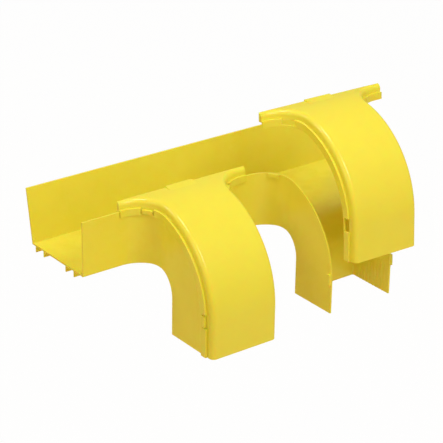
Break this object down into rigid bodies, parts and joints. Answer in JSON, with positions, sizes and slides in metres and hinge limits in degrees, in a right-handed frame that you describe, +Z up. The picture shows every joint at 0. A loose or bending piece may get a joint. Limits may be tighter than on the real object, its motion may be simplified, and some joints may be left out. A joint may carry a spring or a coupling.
{
  "type": "fibre raceway fitting",
  "caption": "Open channel section for fibre cable with down-turned spouts and a clip-on curved cover for each, one of them shown lifted off.",
  "frame": {"origin": "underside of the channel's floor, at the middle of its length and width", "axes": "+X along the channel to the right, +Y towards the leaning back wall, the spouts reach to -Y and turn down, +Z up"},
  "size_m": [0.699, 0.41, 0.3502],
  "materials": {
    "yellow_plastic": "moulded plastic with a satin gloss"
  },
  "bodies": {
    "root": {"raceway_body": "yellow_plastic", "left_cover": "yellow_plastic", "right_cover": "yellow_plastic"}
  },
  "joints": []
}
